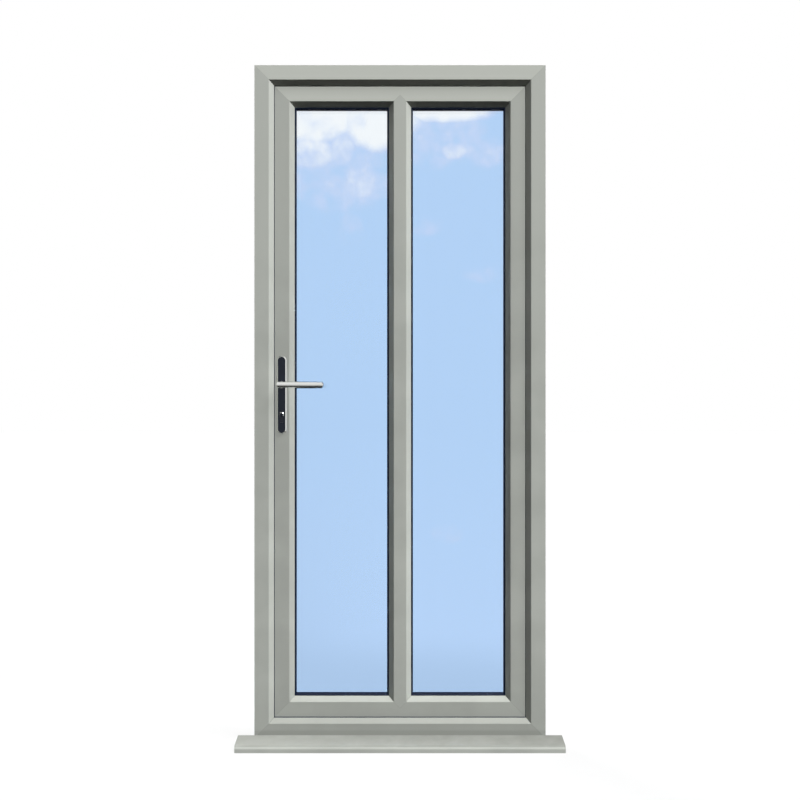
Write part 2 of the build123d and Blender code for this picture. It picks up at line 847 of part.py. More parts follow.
with BuildPart() as hook_keeps:
    with BuildSketch(keep_face):
        with Locations(*[(0, height) for height in hook_z]):
            add(clipped_plate(hardware_groove_width, hook_length + 2 * keep_border, faceplate_corner))
    extrude(amount=keep_thickness)
    extrude(hook_outlines(keep_face, keep_clearance), amount=keep_thickness, mode=Mode.SUBTRACT)
hook_keeps.part.label = "hook_keeps"
export_step(hook_keeps.part, "parts/hook_keeps.step")

# Handle set: the backplates and key cylinder stay on the leaf, and the levers turn with the spindle
with BuildPart() as outside_backplate:
    add(backplate(outside_face))
outside_backplate.part.label = "outside_backplate"
export_step(outside_backplate.part, "parts/outside_backplate.step")

with BuildPart() as inside_backplate:
    add(backplate(inside_face))
inside_backplate.part.label = "inside_backplate"
export_step(inside_backplate.part, "parts/inside_backplate.step")

with BuildPart() as key_cylinder:
    proud = backplate_thickness + key_proud
    extrude(key_outline(inside_face.offset(proud)), amount=-sash_depth - 2 * proud)
    for face in (inside_face.offset(proud), outside_face.offset(proud)):
        with BuildSketch(face):
            with Locations((0, -key_drop)):
                Rectangle(keyway_width, keyway_height)
        extrude(amount=-keyway_depth, mode=Mode.SUBTRACT)
key_cylinder.part.label = "key_cylinder"
export_step(key_cylinder.part, "parts/key_cylinder.step")

with BuildPart() as outside_lever:
    add(lever(outside_face, Vector(0, -1, 0), outside_lever_length))
outside_lever.part.label = "outside_lever"
export_step(outside_lever.part, "parts/outside_lever.step")

with BuildPart() as inside_lever:
    add(lever(inside_face, Vector(0, 1, 0), inside_lever_length))
inside_lever.part.label = "inside_lever"
export_step(inside_lever.part, "parts/inside_lever.step")

with BuildPart() as spindle:
    with BuildSketch(inside_face.offset(lever_floor)):
        Rectangle(spindle_size, spindle_size)
    extrude(amount=-sash_depth - 2 * lever_floor)
spindle.part.label = "spindle"
export_step(spindle.part, "parts/spindle.step")

# Three flag hinges on the inside
for hinge, height in hinge_z.items():
    with BuildPart() as leaf_flag:
        add(sash_flag(height))
    leaf_flag.part.label = f"{hinge}_sash_flag"
    export_step(leaf_flag.part, f"parts/{hinge}_sash_flag.step")

    with BuildPart() as frame_flag:
        add(jamb_flag(height))
    frame_flag.part.label = f"{hinge}_jamb_flag"
    export_step(frame_flag.part, f"parts/{hinge}_jamb_flag.step")

with BuildPart() as hinge_pins:
    for height in hinge_z.values():
        add(hinge_pin(height))
hinge_pins.part.label = "hinge_pins"
export_step(hinge_pins.part, "parts/hinge_pins.step")
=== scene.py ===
"""Dresses a grey glazed uPVC door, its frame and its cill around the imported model, in a plain studio."""

import logging
import math
from dataclasses import dataclass
from enum import Enum
from typing import Iterable, Sequence, Union

import bmesh
import bpy
from mathutils import Matrix, Vector


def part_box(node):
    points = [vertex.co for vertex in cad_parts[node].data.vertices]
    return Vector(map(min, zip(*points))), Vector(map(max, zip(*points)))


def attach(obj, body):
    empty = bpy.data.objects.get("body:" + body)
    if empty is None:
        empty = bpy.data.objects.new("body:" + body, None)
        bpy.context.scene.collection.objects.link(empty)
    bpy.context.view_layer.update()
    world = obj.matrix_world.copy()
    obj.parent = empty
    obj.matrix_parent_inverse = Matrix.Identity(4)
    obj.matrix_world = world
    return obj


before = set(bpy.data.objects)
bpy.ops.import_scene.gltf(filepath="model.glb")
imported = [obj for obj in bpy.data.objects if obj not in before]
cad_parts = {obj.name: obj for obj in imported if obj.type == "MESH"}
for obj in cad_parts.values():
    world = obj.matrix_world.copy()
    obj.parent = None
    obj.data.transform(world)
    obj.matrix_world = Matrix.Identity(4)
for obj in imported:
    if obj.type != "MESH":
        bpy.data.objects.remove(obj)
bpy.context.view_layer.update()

MM = 0.001
WHITE = (1, 1, 1, 1)
ABOUT_Z = {"cent": (0, 0, 0), "axis": (0, 0, 1)}

BMesh = bmesh.types.BMesh
BMEdge = bmesh.types.BMEdge
Socket = bpy.types.NodeSocket
Outputs = bpy.types.NodeOutputs
Sockets = dict[str, Socket]
Source = Union[Socket, "Colour", float, Sequence[float]]
Inputs = dict[str, Source]
Span = tuple[float, float]
Point = tuple[float, float, float]
Rgba = tuple[float, float, float, float]

log = logging.getLogger("door")


class Body(str, Enum):
    """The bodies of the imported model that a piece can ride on."""

    FRAME = "frame"
    LEAF = "leaf"


class Slot(str, Enum):
    """The record's material slots."""

    HANDLE = "handle"
    STEEL = "steel"
    KEY_CYLINDER = "key_cylinder"


class Hand(Enum):
    """The side of the door that a piece faces, as the sign of its way along Y."""

    OUTSIDE = -1
    INSIDE = 1

    def plane(self, x: float, y: float, z: float) -> Matrix:
        """A place on the door whose own Z axis points out of that side and whose Y axis points up."""
        return axes_at(Vector((x, y, z)), Vector((0, self.value, 0)))

    def piece(self, part: str) -> str:
        """The name of the piece that does this job on that side."""
        return f"{self.name.lower()}_{part}"

    def face(self, box: tuple[Vector, Vector]) -> float:
        """Where along Y a box ends on that side."""
        return box[0].y if self is Hand.OUTSIDE else box[1].y


def axes_at(origin: Vector, out: Vector) -> Matrix:
    """Makes a place whose own Y axis points up.

    Args:
        origin: Where the place is.
        out: The level direction of its own Z axis.

    Returns:
        The matrix that takes a piece from the origin to that place.
    """
    up = Vector((0, 0, 1))
    across = up.cross(out)
    turn = Matrix((across, up, out)).transposed().to_4x4()
    return Matrix.Translation(origin) @ turn


@dataclass(frozen=True)
class Colour:
    """A colour as it is seen, in sRGB steps from 0 to 255."""

    red: float
    green: float
    blue: float

    def linear(self) -> Rgba:
        """The same colour in linear light, with full alpha."""
        steps = (value / 255 for value in (self.red, self.green, self.blue))
        return (*(s / 12.92 if s <= 0.04045 else ((s + 0.055) / 1.055) ** 2.4 for s in steps), 1.0)

    def root(self) -> Rgba:
        """The colour that gives this one where light passes through it twice, in linear light."""
        return (*(math.sqrt(value) for value in self.linear()[:3]), 1.0)

    def shade(self, share: float) -> "Colour":
        """The colour made lighter or darker by a share of its sRGB steps."""
        return Colour(self.red * share, self.green * share, self.blue * share)


class NodeBoard:
    """Adds and joins the nodes of one tree."""

    def __init__(self, tree: bpy.types.NodeTree) -> None:
        """Empties the tree that the nodes go into."""
        tree.nodes.clear()
        self.tree = tree

    def feed(self, socket: Socket, source: Source) -> None:
        """Links an output to a socket, or sets the socket to a constant.

        Args:
            socket: The input.
            source: What it gets.
        """
        if isinstance(source, Socket):
            self.tree.links.new(source, socket)
        else:
            socket.default_value = source.linear() if isinstance(source, Colour) else source

    def add(self, kind: str, inputs: dict[Union[str, int], Source], **settings: object) -> bpy.types.Node:
        """Adds one node.

        Args:
            kind: The node's type, without its leading ShaderNode.
            inputs: What each input gets, by its name or its number.
            **settings: The node's own properties.

        Returns:
            The new node.
        """
        node = self.tree.nodes.new(f"ShaderNode{kind}")
        for name, value in settings.items():
            setattr(node, name, value)
        for key, source in inputs.items():
            self.feed(node.inputs[key], source)
        return node

    def math(self, operation: str, *values: Source) -> Socket:
        """Adds a Math node on one to three values and returns its output."""
        return self.add("Math", dict(enumerate(values)), operation=operation).outputs[0]

    def times(self, first: Source, second: Source) -> Socket:
        """Multiplies two values."""
        return self.math("MULTIPLY", first, second)

    def line(self, value: Source, slope: Source, start: Source) -> Socket:
        """Multiplies a value by a slope and adds a start."""
        return self.math("MULTIPLY_ADD", value, slope, start)

    def ramp(self, value: Source, low: float, high: float) -> Socket:
        """Rises smoothly from 0 at low to 1 at high, or falls where low is the larger."""
        inputs = {"Value": value, "From Min": low, "From Max": high}
        return self.add("MapRange", inputs, interpolation_type="SMOOTHERSTEP").outputs["Result"]

    def blend(self, share: Source, first: Source, second: Source) -> Socket:
        """Mixes two colours by a share and returns the mixed colour."""
        inputs = {"Factor": share, "A": first, "B": second}
        return self.add("Mix", inputs, data_type="RGBA").outputs["Result"]

    def noise(self, position: Source, scale: Source, detail: float) -> Socket:
        """Adds a soft noise and returns its value from 0 to 1."""
        inputs = {"Vector": position, "Scale": scale, "Detail": detail}
        return self.add("TexNoise", inputs).outputs["Fac"]

    def parts(self, vector: Source) -> Outputs:
        """Splits a vector into its three numbers."""
        return self.add("SeparateXYZ", {"Vector": vector}).outputs

    def places(self) -> Outputs:
        """The coordinates of the point that is shaded."""
        return self.add("TexCoord", {}).outputs

    def effect(self, effect: "Effect", **inputs: Source) -> Outputs:
        """Places a shared group.

        Args:
            effect: The group.
            **inputs: What each input gets, by its name in small letters with underscores for spaces.

        Returns:
            The group's outputs.
        """
        given = {name.replace("_", " ").title(): source for name, source in inputs.items()}
        return self.add("Group", given, node_tree=effect.tree()).outputs


class Effect:
    """A shader node group that several finishes use. A subclass fills its board."""

    name: str
    inputs: dict[str, str]
    outputs: dict[str, str]

    def tree(self) -> bpy.types.NodeTree:
        """Builds the group the first time.

        Returns:
            The group's tree.
        """
        made = bpy.data.node_groups.get(self.name)
        if made:
            return made
        made = bpy.data.node_groups.new(self.name, "ShaderNodeTree")
        for way, sockets in (("INPUT", self.inputs), ("OUTPUT", self.outputs)):
            for socket, kind in sockets.items():
                made.interface.new_socket(socket, in_out=way, socket_type=f"NodeSocket{kind}")
        board = NodeBoard(made)
        given = made.nodes.new("NodeGroupInput").outputs
        shown = made.nodes.new("NodeGroupOutput").inputs
        for socket, source in self.fill(board, given).items():
            board.feed(shown[socket], source)
        return made

    def fill(self, board: NodeBoard, given: Outputs) -> Sockets:
        """Adds the group's nodes.

        Args:
            board: The group's board.
            given: The group's inputs, by name.

        Returns:
            What each output of the group shows, by name.
        """
        raise NotImplementedError


class SatinGrain(Effect):
    """The fine grain of a moulded or rolled surface, and its broad cloudy change of tone."""

    name = "Satin grain"
    inputs = {"Position": "Vector", "Grain Size": "Float", "Mottle Size": "Float"}
    outputs = {"Height": "Float", "Mottle": "Float"}

    def fill(self, board: NodeBoard, given: Outputs) -> Sockets:
        """Adds a fine noise for the height and a broad one for the mottle."""
        fine = board.math("DIVIDE", 1.0, given["Grain Size"])
        broad = board.math("DIVIDE", 1.0, given["Mottle Size"])
        return {
            "Height": board.noise(given["Position"], fine, 3.0),
            "Mottle": board.noise(given["Position"], broad, 4.0),
        }


class WeldLine(Effect):
    """The narrow seam where two mitred bars are welded, along the diagonals of a rectangle."""

    name = "Weld line"
    inputs = {
        "Position": "Vector",
        "Half Width": "Float",
        "Upper Corner": "Float",
        "Lower Corner": "Float",
        "Seam Width": "Float",
    }
    outputs = {"Mask": "Float"}

    def fill(self, board: NodeBoard, given: Outputs) -> Sockets:
        """Adds the distance to the nearer diagonal, and a mask that falls off from it."""
        place = board.parts(given["Position"])
        inset = board.math("SUBTRACT", given["Half Width"], board.math("ABSOLUTE", place["X"]))
        below = board.math("SUBTRACT", given["Upper Corner"], place["Z"])
        above = board.math("SUBTRACT", place["Z"], given["Lower Corner"])
        away = [board.math("ABSOLUTE", board.math("SUBTRACT", inset, gap)) for gap in (below, above)]
        share = board.math("DIVIDE", board.math("MINIMUM", *away), given["Seam Width"])
        return {"Mask": board.ramp(share, 1.0, 0.0)}


class DustAndPaintedLight(Effect):
    """Dust on what faces up, thickened to the right and towards the frame as painted shade; painted shade
    towards the bottom and along the line where the bars meet the cill; and painted light that makes the upper
    part paler.
    """

    name = "DustAndPaintedLight"
    inputs = {"Position": "Vector", "Normal": "Vector"}
    outputs = {"Dust": "Float", "Splash": "Float", "Bleach": "Float"}
    # spans of the dust, of the painted shade to the right, by the frame, low down and on the cill line, and
    # of the painted light at the top
    level_enough: Span = (0.35, 0.75)
    drift: Span = (-0.5, 0.2)
    shelter: Span = (-0.08, 0.0)
    splash: Span = (0.27, -0.0675)
    grime: Span = (0.053, 0.031)
    bleach: Span = (1.1, 2.1)

    def fill(self, board: NodeBoard, given: Outputs) -> Sockets:
        """Adds masks from the way a surface faces and from its place, and breaks two of them up."""
        facing_up = board.ramp(board.parts(given["Normal"])["Z"], *self.level_enough)
        place = board.parts(given["Position"])
        # painted shade: the dust thickens towards the right
        drift = board.line(board.ramp(place["X"], *self.drift), 0.16, 0.74)
        # painted shade: the dust thickens towards the frame's face
        shelter = board.line(board.ramp(place["Y"], *self.shelter), 0.13, 1.0)
        spots = board.noise(given["Position"], 22.0, 6.0)
        patches = board.times(shelter, board.line(spots, 0.4, 0.8))
        # painted shade: darker towards the bottom, broken up by the noise
        ragged = board.line(spots, -0.06, place["Z"])
        splash = board.ramp(ragged, *self.splash)
        return {
            "Dust": board.times(facing_up, board.times(drift, patches)),
            # painted shade along the line where the bars meet the cill, added to the low shade
            "Splash": board.line(board.ramp(place["Z"], *self.grime), 0.75, splash),
            # painted light: paler towards the top
            "Bleach": board.ramp(place["Z"], *self.bleach),
        }


class BrushedLines(Effect):
    """Fine parallel lines left by brushing or rolling along Z, with the broad streaks between them."""

    name = "Brushed lines"
    inputs = {"Position": "Vector", "Line Size": "Float", "Stretch": "Float"}
    outputs = {"Height": "Float", "Streak": "Float"}
    streak_share: float = 0.12

    def fill(self, board: NodeBoard, given: Outputs) -> Sockets:
        """Adds two noises that are drawn out along Z."""
        place = board.parts(given["Position"])
        long = board.math("DIVIDE", place["Z"], given["Stretch"])
        drawn = board.add("CombineXYZ", {"X": place["X"], "Y": place["Y"], "Z": long}).outputs[0]
        scale = board.math("DIVIDE", 1.0, given["Line Size"])
        broad = board.times(scale, self.streak_share)
        return {"Height": board.noise(drawn, scale, 3.0), "Streak": board.noise(drawn, broad, 3.0)}


class PaintedSkyReflection(Effect):
    """A painted reflection of a pale blue sky, paler low down, with soft clouds near the top, laid on the
    glass of the door.
    """

    name = "Sky tint"
    inputs = {"Position": "Vector", "Sky": "Color", "Haze": "Color", "Cloud": "Color", "Low Sky": "Color"}
    outputs = {"Color": "Color"}
    # x, z, width, height and strength of each painted cloud, in metres in the door's plane
    puffs = (
        (-0.27, 1.98, 0.17, 0.13, 1.0),
        (-0.06, 1.99, 0.16, 0.17, 1.0),
        (-0.28, 1.84, 0.10, 0.07, 0.62),
        (-0.18, 1.85, 0.05, 0.07, 0.62),
        (-0.18, 1.79, 0.20, 0.15, 0.4),
        (-0.08, 1.74, 0.08, 0.06, 0.52),
        (-0.155, 1.60, 0.05, 0.07, 0.2),
        (0.13, 1.985, 0.19, 0.06, 1.0),
        (0.12, 1.89, 0.17, 0.11, 0.42),
        (0.168, 1.845, 0.05, 0.035, 0.65),
        (0.27, 1.84, 0.08, 0.06, 0.28),
        (0.08, 1.61, 0.07, 0.04, 0.22),
        (0.26, 1.46, 0.08, 0.035, 0.2),
        (0.147, 0.645, 0.06, 0.035, 0.3),
    )
    wisp_size: float = 0.065
    wisp_swing: float = 1.1
    low_sky: Span = (1.2, 0.1)
    hazy_cover: Span = (0.0, 0.6)
    white_cover: Span = (0.3, 1.1)

    def fill(self, board: NodeBoard, given: Outputs) -> Sockets:
        """Adds up the clouds, breaks them with noise, and lays a haze and then their white over the sky."""
        place = board.parts(given["Position"])
        cover: Source = 0.0
        for x, z, width, height, strength in self.puffs:
            across = board.math("DIVIDE", board.math("SUBTRACT", place["X"], x), width)
            along = board.math("DIVIDE", board.math("SUBTRACT", place["Z"], z), height)
            square = board.line(across, across, board.times(along, along))
            body = board.times(board.ramp(square, 1.5, 0.0), strength)
            cover = board.math("MAXIMUM", cover, body)
        wisps = board.noise(given["Position"], 1 / self.wisp_size, 6.0)
        swing = board.times(board.math("SUBTRACT", wisps, 0.5), board.ramp(cover, 0.0, 0.3))
        broken = board.line(swing, self.wisp_swing, cover)
        # painted reflection: the sky, then its haze and its clouds
        clear = board.blend(board.ramp(place["Z"], *self.low_sky), given["Sky"], given["Low Sky"])
        hazy = board.blend(board.ramp(broken, *self.hazy_cover), clear, given["Haze"])
        return {"Color": board.blend(board.ramp(broken, *self.white_cover), hazy, given["Cloud"])}


@dataclass(frozen=True)
class Finish:
    """A named surface finish. Each kind fills in its own material, which is built once."""

    name: str

    def material(self) -> bpy.types.Material:
        """Builds the material the first time.

        Returns:
            The material.
        """
        made = bpy.data.materials.get(self.name)
        if made:
            return made
        made = bpy.data.materials.new(self.name)
        made.use_nodes = True
        board = NodeBoard(made.node_tree)
        board.add("OutputMaterial", {"Surface": self.shader(board)})
        return made

    def shader(self, board: NodeBoard) -> Socket:
        """Adds the shader that the finish ends in and returns its output."""
        return board.add("BsdfPrincipled", self.surface(board)).outputs["BSDF"]

    def surface(self, board: NodeBoard) -> Inputs:
        """Adds the nodes of one kind of finish.

        Args:
            board: The material's board.

        Returns:
            What each input of the shader gets, by name.
        """
        raise NotImplementedError

    def bump(self, board: NodeBoard, height: Source, depth: float) -> Socket:
        """Turns a height from 0 to 1 into a normal, for a relief of the given depth in metres."""
        return board.add("Bump", {"Height": height, "Strength": 1.0, "Distance": depth}).outputs["Normal"]


@dataclass(frozen=True)
class Weld:
    """Where a bar's welded seams run: the diagonals of a rectangle in the door's plane."""

    half_width: float
    upper_corner: float
    lower_corner: float
    seam_width: float = 1.1 * MM


@dataclass(frozen=True)
class ProfileFinish(Finish):
    """Satin uPVC, coloured right through, with welded mitres, a little dust, painted shade low down and
    painted light high up.
    """

    colour: Colour
    welds: tuple[Weld, ...] = ()
    roughness: float = 0.44
    specular: float = 0.2
    # the dust colour also paints the shade where the dust thickens; the low shade and top light tones paint
    # shade and light
    dust: Colour = Colour(140, 138, 128)
    dust_share: float = 0.12
    splash_share: float = 0.7
    splash_tone: float = 0.84
    mottle_tones: Span = (0.975, 1.025)
    bleached_tone: float = 1.045
    seam_tone: float = 0.55
    seam_share: float = 0.3
    seam_depth: float = 6.0
    grain_depth: float = 0.03 * MM

    def surface(self, board: NodeBoard) -> Inputs:
        """Adds grain, mottle, seams, dust, painted shade low down and painted light high up to a satin
        plastic.
        """
        where = board.places()
        position = where["Object"]
        grain = board.effect(SatinGrain(), position=position, grain_size=0.9 * MM, mottle_size=0.16)
        dust_and_light = board.effect(DustAndPaintedLight(), position=position, normal=where["Normal"])
        seam: Source = 0.0
        for weld in self.welds:
            line = board.effect(WeldLine(), position=position, **vars(weld))
            seam = board.math("MAXIMUM", seam, line["Mask"])
        deep, light = (self.colour.shade(tone) for tone in self.mottle_tones)
        plain = board.blend(board.ramp(grain["Mottle"], 0.3, 0.7), deep, light)
        # painted light: paler towards the top
        top_lit = board.blend(dust_and_light["Bleach"], plain, self.colour.shade(self.bleached_tone))
        # painted shade: darker towards the bottom and along the cill line
        splash = board.times(dust_and_light["Splash"], self.splash_share)
        low_shaded = board.blend(splash, top_lit, self.colour.shade(self.splash_tone))
        # dust on what faces up, with its painted shade to the right and by the frame
        dust_and_shade_film = board.times(dust_and_light["Dust"], self.dust_share)
        dusted_and_shaded = board.blend(dust_and_shade_film, low_shaded, self.dust)
        mark = board.times(seam, self.seam_share)
        rough = board.line(grain["Mottle"], 0.1, self.roughness - 0.05)
        relief = board.line(seam, -self.seam_depth, grain["Height"])
        return {
            "Base Color": board.blend(mark, dusted_and_shaded, self.colour.shade(self.seam_tone)),
            "Roughness": board.line(dust_and_light["Dust"], 0.15, rough),
            "Specular IOR Level": self.specular,
            "Normal": self.bump(board, relief, self.grain_depth),
        }


@dataclass(frozen=True)
class RubberFinish(Finish):
    """Black extruded rubber with a matt skin."""

    colour: Colour
    roughness: float = 0.62
    specular: float = 0.1
    deep_tone: float = 0.8
    dust: Colour = Colour(110, 106, 98)
    dust_share: float = 0.05
    grain_depth: float = 0.02 * MM

    def surface(self, board: NodeBoard) -> Inputs:
        """Adds a fine grain, and dust with its painted shade to the right and by the frame, to matt rubber.
        """
        where = board.places()
        position = where["Object"]
        grain = board.effect(SatinGrain(), position=position, grain_size=0.5 * MM, mottle_size=0.05)
        dust_and_light = board.effect(DustAndPaintedLight(), position=position, normal=where["Normal"])
        plain = board.blend(grain["Mottle"], self.colour.shade(self.deep_tone), self.colour)
        # dust, with painted shade where it thickens
        dust_and_shade_film = board.times(dust_and_light["Dust"], self.dust_share)
        return {
            "Base Color": board.blend(dust_and_shade_film, plain, self.dust),
            "Roughness": board.line(grain["Mottle"], 0.2, self.roughness - 0.1),
            "Normal": self.bump(board, grain["Height"], self.grain_depth),
            "Specular IOR Level": self.specular,
        }


@dataclass(frozen=True)
class GlassFinish(Finish):
    """Float glass with a faint tint, which the sky glass replaces with a painted sky reflection; it lets soft
    light and the lamps through untinted.
    """

    # tint, low tint, haze and cloud feed the painted sky reflection; on clear glass they are all its faint
    # tint
    tint: Colour
    low_tint: Colour
    haze: Colour
    cloud: Colour
    through: Colour
    ior: float = 1.45
    wave_depth: float = 0.02 * MM

    def shader(self, board: NodeBoard) -> Socket:
        """Adds the tint, painted as a sky reflection on the sky glass, the faint waves of float glass, and
        the plain ways through.
        """
        position = board.places()["Object"]
        tints = {"sky": self.tint, "low_sky": self.low_tint, "haze": self.haze, "cloud": self.cloud}
        sky = board.effect(PaintedSkyReflection(), position=position, **tints)
        grain = board.effect(SatinGrain(), position=position, grain_size=0.25, mottle_size=0.5)
        glass = board.add(
            "BsdfPrincipled",
            {
                "Base Color": sky["Color"],
                "Roughness": 0.0,
                "IOR": self.ior,
                "Transmission Weight": 1.0,
                "Normal": self.bump(board, grain["Height"], self.wave_depth),
            },
        ).outputs["BSDF"]
        colour = self.through.root()
        clear = board.add("BsdfTransparent", {"Color": colour}).outputs[0]
        plain = board.add("BsdfGlass", {"Color": colour, "Roughness": 0.0, "IOR": self.ior}).outputs[0]
        path = board.add("LightPath", {}).outputs
        soft = board.add("MixShader", {0: path["Is Diffuse Ray"], 1: glass, 2: plain}).outputs[0]
        return board.add("MixShader", {0: path["Is Shadow Ray"], 1: soft, 2: clear}).outputs[0]


@dataclass(frozen=True)
class MetalFinish(Finish):
    """Polished or brushed metal, with fine lines along its length and a few dull patches."""

    colour: Colour
    roughness: float
    line_size: float = 0.25 * MM
    line_depth: float = 0.004 * MM
    stretch: float = 60.0
    streak_tones: Span = (0.95, 1.02)

    def relief(self, board: NodeBoard, place: Source) -> tuple[Outputs, Outputs]:
        """The lines that this metal was polished or rolled with, and its dull patches."""
        lines = board.effect(BrushedLines(), position=place, line_size=self.line_size, stretch=self.stretch)
        return lines, board.effect(SatinGrain(), position=place, grain_size=0.4 * MM, mottle_size=0.02)

    def surface(self, board: NodeBoard) -> Inputs:
        """Adds lines and patches to plain metal."""
        lines, grain = self.relief(board, board.places()["Object"])
        deep, light = (self.colour.shade(tone) for tone in self.streak_tones)
        return {
            "Base Color": board.blend(lines["Streak"], deep, light),
            "Metallic": 1.0,
            "Roughness": board.line(grain["Mottle"], 0.08, self.roughness - 0.02),
            "Normal": self.bump(board, lines["Height"], self.line_depth),
        }


@dataclass(frozen=True)
class DarkReflectionFinish(MetalFinish):
    """Polished metal with a painted dark reflection on its face and painted shade on its side walls, so that
    only the rim between them shines.
    """

    inlay: Colour = Colour(20, 26, 38)
    deep_tone: float = 0.8
    specular: float = 0.25
    # face: where the painted dark reflection lies; edge: where the painted shade on the side walls lies
    face: Span = (0.9, 0.96)
    edge: Span = (0.35, 0.2)

    def surface(self, board: NodeBoard) -> Inputs:
        """Paints a dark reflection where the surface is square to the door and shade where it is level with
        it, and leaves metal on the slope.
        """
        where = board.places()
        facing = board.math("ABSOLUTE", board.parts(where["Normal"])["Y"])
        # flat is 1 where a dark reflection or shade is painted
        flat = board.math("MAXIMUM", board.ramp(facing, *self.face), board.ramp(facing, *self.edge))
        lines, grain = self.relief(board, where["Object"])
        painted_dark_reflection = board.blend(grain["Mottle"], self.inlay.shade(self.deep_tone), self.inlay)
        rough = board.line(grain["Mottle"], 0.08, self.roughness)
        return {
            "Base Color": board.blend(flat, self.colour, painted_dark_reflection),
            "Metallic": board.math("SUBTRACT", 1.0, flat),
            "Roughness": board.line(flat, 0.18, rough),
            "Specular IOR Level": self.specular,
            "Normal": self.bump(board, lines["Height"], self.line_depth),
        }


@dataclass(frozen=True)
class SpacerFinish(Finish):
    """Rolled aluminium spacer bar with a row of breathing holes, painted as dark dots of shade."""

    colour: Colour
    middle: float
    hole_pitch: float = 6.0 * MM
    hole_radius: float = 0.7 * MM
    hole_floor: float = 0.49 * MM
    hole_colour: Colour = Colour(20, 20, 20)
    deep_tone: float = 0.9

    def surface(self, board: NodeBoard) -> Inputs:
        """Paints a row of small holes along the middle of the bar as dark dots of painted shade, whichever
        way it runs.
        """
        position = board.places()["Object"]
        place = board.parts(position)
        lines = board.effect(BrushedLines(), position=position, line_size=0.3 * MM, stretch=40.0)
        across = board.math("SUBTRACT", place["Y"], self.middle)
        across_square = board.times(across, across)
        away = []
        for way in ("X", "Z"):
            along = board.math("PINGPONG", place[way], self.hole_pitch / 2)
            away.append(board.math("SQRT", board.line(along, along, across_square)))
        hole = board.ramp(board.math("MINIMUM", *away), self.hole_radius, self.hole_floor)
        metal = board.blend(lines["Streak"], self.colour.shade(self.deep_tone), self.colour)
        return {
            # painted shade: the holes are dark dots, not cut
            "Base Color": board.blend(hole, metal, self.hole_colour),
            "Metallic": board.math("SUBTRACT", 1.0, hole),
            "Roughness": board.line(lines["Streak"], 0.15, 0.3),
            "Normal": self.bump(board, lines["Height"], 0.01 * MM),
        }


def upvc(name: str, colour: Colour, *welds: Weld) -> ProfileFinish:
    """A uPVC bar's finish."""
    return ProfileFinish(f"uPVC {name}", colour, welds)


@dataclass(frozen=True)
class Palette:
    """The measured colours of the bars, and every other finish of the door. The top and foot greys are
    lighter and darker copies of the upright grey: painted light on the top bars, painted shade on the foot
    bars.
    """

    # one grey lit three ways: painted light on the top bars, painted shade on the foot bars
    upright: Colour = Colour(166.5, 169.5, 163.5)
    top: Colour = Colour(178.5, 181.5, 174.5)
    foot: Colour = Colour(158, 161, 155)
    # a thick film of dust darkens the level top: dust, and painted shade that leaves the rounded nose lighter
    # as a painted highlight
    cill: ProfileFinish = ProfileFinish(
        "uPVC cill",
        Colour(171, 174, 168),
        specular=0.15,
        dust=Colour(117, 118, 113),
        dust_share=0.86,
        splash_share=0.0,
    )
    hinge: ProfileFinish = upvc("hinge coat", Colour(172, 175, 169))
    chrome: MetalFinish = MetalFinish("Polished chrome", Colour(226, 227, 224), 0.12)
    # backplates and key plugs: chrome with a painted dark reflection on the face and painted shade on the
    # side walls
    plate: DarkReflectionFinish = DarkReflectionFinish("Chrome with painted dark reflection", Colour(226, 227, 224), 0.1)
    steel: MetalFinish = MetalFinish("Brushed steel", Colour(190, 190, 186), 0.3, line_depth=0.012 * MM)
    cylinder: MetalFinish = MetalFinish("Black nickel", Colour(52, 54, 60), 0.3)
    spacer: Colour = Colour(180, 182, 184)
    seal: RubberFinish = RubberFinish("Black rubber", Colour(12, 24, 46))
    clear_glass: GlassFinish = GlassFinish("Clear glass", *[Colour(250, 253, 252)] * 5)
    # painted sky reflection: a blue sky, paler low down, with haze and clouds
    sky_glass: GlassFinish = GlassFinish(
        "Glass with painted sky reflection",
        tint=Colour(182, 212, 249),
        low_tint=Colour(186, 214, 251),
        haze=Colour(198, 216, 249),
        cloud=Colour(247, 250, 255),
        through=Colour(195, 195, 193),
    )


def dress(nodes: Iterable[str], finish: Finish) -> None:
    """Gives CAD nodes their finish.

    Args:
        nodes: The nodes' names.
        finish: What they are finished in.
    """
    for node in nodes:
        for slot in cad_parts[node].material_slots:
            slot.material = finish.material()


def linked(name: str, data: bpy.types.ID) -> bpy.types.Object:
    """Makes an object of a mesh, a lamp or a camera, puts it in the scene and returns it."""
    made = bpy.data.objects.new(name, data)
    bpy.context.scene.collection.objects.link(made)
    return made


def new_piece(name: str, shape: BMesh, body: Body, finish: Finish) -> None:
    """Turns a finished bmesh into a piece that rides on a body.

    Args:
        name: The piece's name.
        shape: Its shape, in its place. It is freed.
        body: The body that it moves with.
        finish: What it is finished in.
    """
    bmesh.ops.remove_doubles(shape, verts=shape.verts, dist=0.001 * MM)
    bmesh.ops.recalc_face_normals(shape, faces=shape.faces)
    mesh = bpy.data.meshes.new(name)
    shape.to_mesh(mesh)
    shape.free()
    mesh.polygons.foreach_set("use_smooth", [True] * len(mesh.polygons))
    mesh.set_sharp_from_angle(angle=math.radians(32))
    mesh.materials.append(finish.material())
    piece = linked(name, mesh)
    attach(piece, body.value)
    log.info("%s: %d faces", name, len(mesh.polygons))


def rim(shape: BMesh) -> list[BMEdge]:
    """The edges at the open rims of a bmesh."""
    return [edge for edge in shape.edges if edge.is_boundary]


